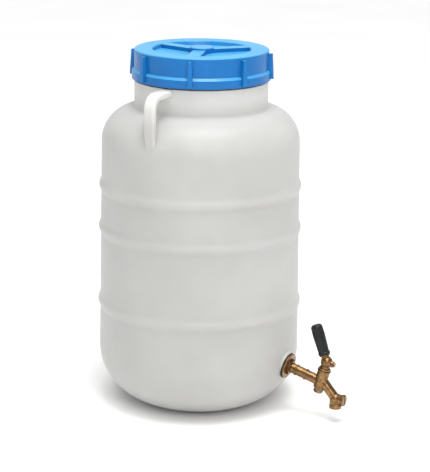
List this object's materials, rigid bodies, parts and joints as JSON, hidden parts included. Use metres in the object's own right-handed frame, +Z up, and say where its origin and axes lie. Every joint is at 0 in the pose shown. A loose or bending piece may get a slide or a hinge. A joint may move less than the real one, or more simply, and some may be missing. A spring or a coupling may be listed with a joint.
{
  "type": "fermenting bucket",
  "caption": "Wide-mouth moulded plastic fermenting barrel with ring beads, loop handles at the neck, a screw lid and a brass lever tap near the base.",
  "frame": {"origin": "centre of the flat base, on the surface that the barrel stands on", "axes": "+Z up along the barrel's axis, -Y towards the tap, +X and -X towards the two handles"},
  "size_m": [0.305, 0.3987, 0.535],
  "materials": {
    "hdpe_natural": "satin natural polyethylene, slightly translucent",
    "lid_blue": "satin moulded",
    "rubber_black": "matt",
    "brass_aged": "aged, cast and turned",
    "steel": "plain",
    "grip_black": "moulded, satin"
  },
  "bodies": {
    "barrel": {"barrel": "hdpe_natural", "tap_body": "brass_aged", "outer_seal": "rubber_black", "inner_seal": "rubber_black", "inner_washer": "brass_aged", "lock_nut": "brass_aged", "stop_pin": "steel", "end_seal": "rubber_black", "end_cap": "brass_aged"},
    "gasket": {"lid_gasket": "rubber_black"},
    "lid": {"lid": "lid_blue"},
    "lever": {"tap_plug": "brass_aged", "plug_washer": "brass_aged", "split_washer": "steel", "plug_nut": "brass_aged", "lever_shank": "steel", "lever_ferrule": "brass_aged", "lever_grip": "grip_black", "head_screw": "brass_aged"}
  },
  "joints": [
    {"name": "lid_rise", "type": "slide", "parent": "barrel", "child": "gasket", "axis": [0, 0, 1], "range_m": [0, 0.0101]},
    {"name": "lid_turn", "type": "hinge", "parent": "gasket", "child": "lid", "pos_m": [0, 0, 0.5], "axis": [0, 0, 1], "range_deg": [0, 450]},
    {"name": "tap_lever", "type": "hinge", "parent": "barrel", "child": "lever", "pos_m": [0, -0.20731, 0.0576], "axis": [0, -0.2504, 0.9681], "range_deg": [0, 90]}
  ],
  "couplings": [
    {"joint": "lid_rise", "follows": "lid_turn", "m_per_rad": 0.0012732}
  ]
}
